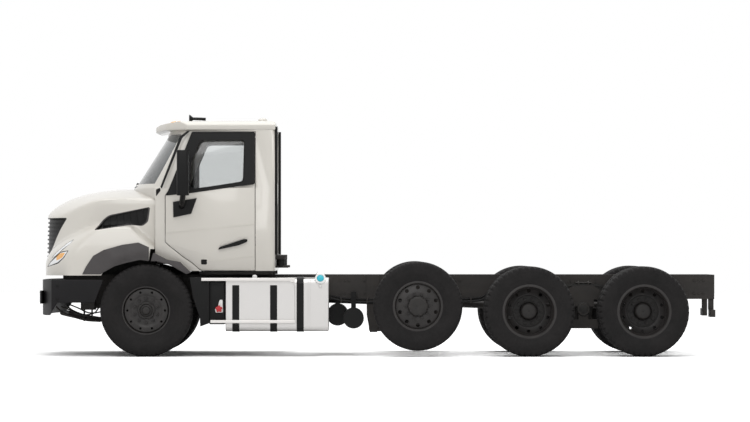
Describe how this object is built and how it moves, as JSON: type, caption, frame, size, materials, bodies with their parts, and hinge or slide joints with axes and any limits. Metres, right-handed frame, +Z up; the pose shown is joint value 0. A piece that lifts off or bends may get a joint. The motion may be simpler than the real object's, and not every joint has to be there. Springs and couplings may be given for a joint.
{
  "type": "four axle chassis cab truck",
  "caption": "Conventional chassis cab truck with a steered front axle, a raised lift axle, a driven tandem on twin tyres and a bare frame behind the cab.",
  "frame": {"origin": "on the ground under the centre of the truck's bounding box", "axes": "+X forwards along the truck, +Y to the truck's left, +Z up"},
  "size_m": [8.29, 2.85, 2.9],
  "materials": {
    "aluminium": "satin",
    "bumper_paint": "satin",
    "cab_paint": "satin",
    "cast_iron": "painted",
    "chassis_paint": "satin",
    "glass": "clear",
    "lamp_lens": "clear",
    "moulded_plastic": "grained",
    "seat_cloth": "woven",
    "tyre_rubber": "moulded",
    "wheel_paint": "satin"
  },
  "bodies": {
    "chassis": {"air_tanks": "chassis_paint", "battery_box": "moulded_plastic", "cab_shell": "cab_paint", "crossmembers": "chassis_paint", "dashboard": "moulded_plastic", "drive_axles": "cast_iron", "driveshafts": "chassis_paint", "engine": "cast_iron", "exhaust_box": "aluminium", "frame_rails": "chassis_paint", "front_axle_beam": "chassis_paint", "front_bumper": "bumper_paint", "front_springs": "chassis_paint", "fuel_tank": "aluminium", "mud_guards": "moulded_plastic", "pusher_axle_beam": "chassis_paint", "pusher_suspension": "chassis_paint", "rear_window": "glass", "roof": "cab_paint", "seats": "seat_cloth", "tail_lamps": "lamp_lens", "tandem_suspension": "chassis_paint", "tank_steps": "aluminium", "tank_straps": "chassis_paint", "wheel_arches": "moulded_plastic", "windscreen": "glass"},
    "hood": {"hood": "cab_paint", "grille": "moulded_plastic", "headlamps": "lamp_lens", "hood_vents": "moulded_plastic", "hood_flares": "moulded_plastic"},
    "door_left": {"door_left": "cab_paint", "door_glass_left": "glass", "mirror_left": "moulded_plastic"},
    "door_right": {"door_right": "cab_paint", "door_glass_right": "glass", "mirror_right": "moulded_plastic"},
    "knuckle_left": {"knuckle_left": "chassis_paint"},
    "knuckle_right": {"knuckle_right": "chassis_paint"},
    "track_rod": {"track_rod": "chassis_paint"},
    "steering_wheel": {"steering_wheel": "moulded_plastic"},
    "front_wheel_left": {"tyre_front_left": "tyre_rubber", "wheel_front_left": "wheel_paint"},
    "front_wheel_right": {"tyre_front_right": "tyre_rubber", "wheel_front_right": "wheel_paint"},
    "pusher_wheel_left": {"tyre_pusher_left": "tyre_rubber", "wheel_pusher_left": "wheel_paint"},
    "pusher_wheel_right": {"tyre_pusher_right": "tyre_rubber", "wheel_pusher_right": "wheel_paint"},
    "drive1_wheel_left": {"tyre_drive1_left": "tyre_rubber", "wheel_drive1_left": "wheel_paint"},
    "drive1_wheel_right": {"tyre_drive1_right": "tyre_rubber", "wheel_drive1_right": "wheel_paint"},
    "drive2_wheel_left": {"tyre_drive2_left": "tyre_rubber", "wheel_drive2_left": "wheel_paint"},
    "drive2_wheel_right": {"tyre_drive2_right": "tyre_rubber", "wheel_drive2_right": "wheel_paint"}
  },
  "joints": [
    {"name": "front_left_spin", "type": "hinge", "parent": "knuckle_left", "child": "front_wheel_left", "pos_m": [2.825, 1.02, 0.56], "axis": [0, 1, 0], "continuous": true},
    {"name": "front_right_spin", "type": "hinge", "parent": "knuckle_right", "child": "front_wheel_right", "pos_m": [2.825, -1.02, 0.56], "axis": [0, 1, 0], "continuous": true},
    {"name": "pusher_left_spin", "type": "hinge", "parent": "chassis", "child": "pusher_wheel_left", "pos_m": [-0.471, 1.04, 0.612], "axis": [0, 1, 0], "continuous": true},
    {"name": "pusher_right_spin", "type": "hinge", "parent": "chassis", "child": "pusher_wheel_right", "pos_m": [-0.471, -1.04, 0.612], "axis": [0, 1, 0], "continuous": true},
    {"name": "drive1_left_spin", "type": "hinge", "parent": "chassis", "child": "drive1_wheel_left", "pos_m": [-1.825, 0.913, 0.548], "axis": [0, 1, 0], "continuous": true},
    {"name": "drive1_right_spin", "type": "hinge", "parent": "chassis", "child": "drive1_wheel_right", "pos_m": [-1.825, -0.913, 0.548], "axis": [0, 1, 0], "continuous": true},
    {"name": "drive2_left_spin", "type": "hinge", "parent": "chassis", "child": "drive2_wheel_left", "pos_m": [-3.215, 0.913, 0.548], "axis": [0, 1, 0], "continuous": true},
    {"name": "drive2_right_spin", "type": "hinge", "parent": "chassis", "child": "drive2_wheel_right", "pos_m": [-3.215, -0.913, 0.548], "axis": [0, 1, 0], "continuous": true},
    {"name": "steer_left", "type": "hinge", "parent": "chassis", "child": "knuckle_left", "pos_m": [2.825, 0.89, 0.56], "axis": [0, 0, 1], "range_deg": [-35, 35]},
    {"name": "steer_right", "type": "hinge", "parent": "chassis", "child": "knuckle_right", "pos_m": [2.825, -0.89, 0.56], "axis": [0, 0, 1], "range_deg": [-35, 35]},
    {"name": "track_rod_pivot", "type": "hinge", "parent": "knuckle_left", "child": "track_rod", "pos_m": [2.655, 0.89, 0.44], "axis": [0, 0, 1], "range_deg": [-35, 35]},
    {"name": "steering_wheel_turn", "type": "hinge", "parent": "chassis", "child": "steering_wheel", "pos_m": [2.402, 0.48, 1.88], "axis": [-0.8829, 0, 0.4695], "range_deg": [-630, 630]},
    {"name": "door_left_hinge", "type": "hinge", "parent": "chassis", "child": "door_left", "pos_m": [2.604, 1.059, 1.6], "axis": [0, 0, -1], "range_deg": [0, 70]},
    {"name": "door_right_hinge", "type": "hinge", "parent": "chassis", "child": "door_right", "pos_m": [2.604, -1.059, 1.6], "axis": [0, 0, 1], "range_deg": [0, 70]},
    {"name": "hood_tilt", "type": "hinge", "parent": "chassis", "child": "hood", "pos_m": [4.05, 0, 0.835], "axis": [0, 1, 0], "range_deg": [0, 65]}
  ],
  "couplings": [
    {"joint": "steer_right", "follows": "steer_left", "ratio": 1},
    {"joint": "track_rod_pivot", "follows": "steer_left", "ratio": -1},
    {"joint": "steering_wheel_turn", "follows": "steer_left", "ratio": 18}
  ]
}
